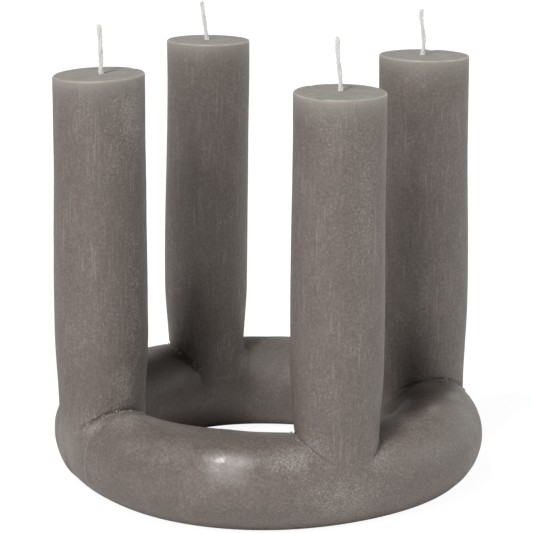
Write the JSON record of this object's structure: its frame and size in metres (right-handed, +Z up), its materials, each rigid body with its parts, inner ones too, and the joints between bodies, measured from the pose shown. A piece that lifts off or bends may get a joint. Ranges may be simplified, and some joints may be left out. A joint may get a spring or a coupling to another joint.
{
  "type": "advent wreath candle",
  "caption": "Thick round wax ring cast in one with tall pillar candles spaced evenly round it, each with a white cotton wick; stands by itself on its flat underside.",
  "frame": {"origin": "on the surface that the ring rests on, below the middle of the whole object", "axes": "+Z up along the pillars; the pillars stand near the diagonals between the X and Y axes"},
  "size_m": [0.271, 0.2706, 0.2889],
  "materials": {
    "wax": "taupe grey candle wax, satin, with fine pale scratches and frosting, paler and greener at the tops",
    "cotton_wick": "waxed braided white cotton, cut ends a little frayed"
  },
  "bodies": {
    "root": {"wax_body": "wax", "wick_front_left": "cotton_wick", "wick_front_right": "cotton_wick", "wick_back_right": "cotton_wick", "wick_back_left": "cotton_wick"}
  },
  "joints": []
}
